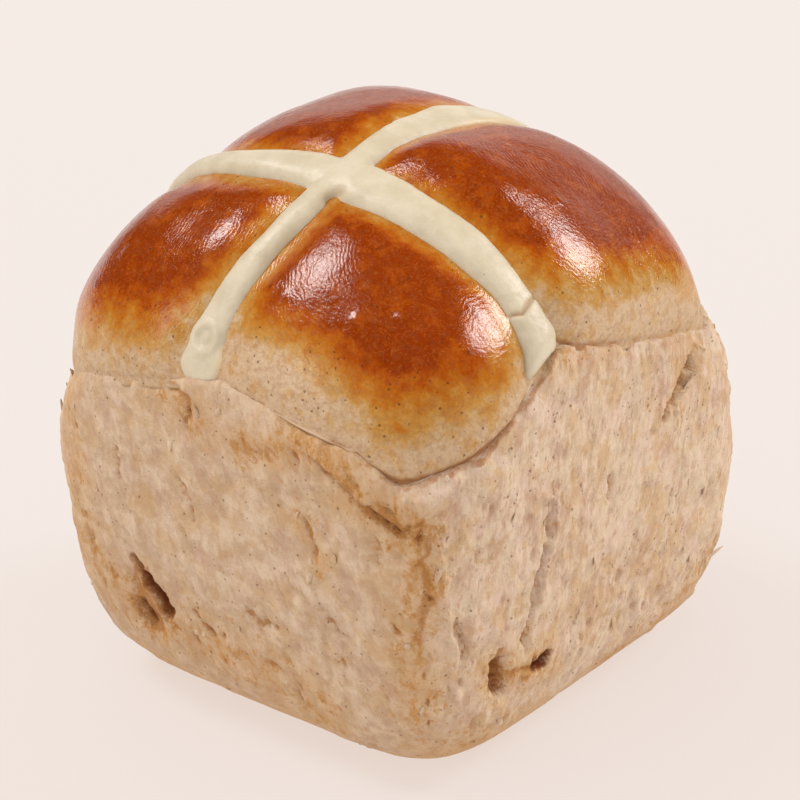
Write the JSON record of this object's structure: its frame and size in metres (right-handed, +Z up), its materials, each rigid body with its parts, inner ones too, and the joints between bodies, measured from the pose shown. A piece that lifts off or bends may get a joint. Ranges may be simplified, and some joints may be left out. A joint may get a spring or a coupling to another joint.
{
  "type": "hot cross bun",
  "caption": "Batch-baked spiced bun with a glazed domed crust, torn crumb sides and a piped flour-paste cross over the top.",
  "frame": {"origin": "middle of the bun's footprint, on the flat base", "axes": "+Z up; -Y and +X are the two torn faces that the reference view shows"},
  "size_m": [0.0763, 0.0776, 0.0795],
  "materials": {
    "bun": "glazed brown crust on top, soft matt torn crumb at the sides",
    "cross": "smooth baked flour paste with a thin glaze"
  },
  "bodies": {
    "root": {"bun": "bun", "cross": "cross"}
  },
  "joints": []
}
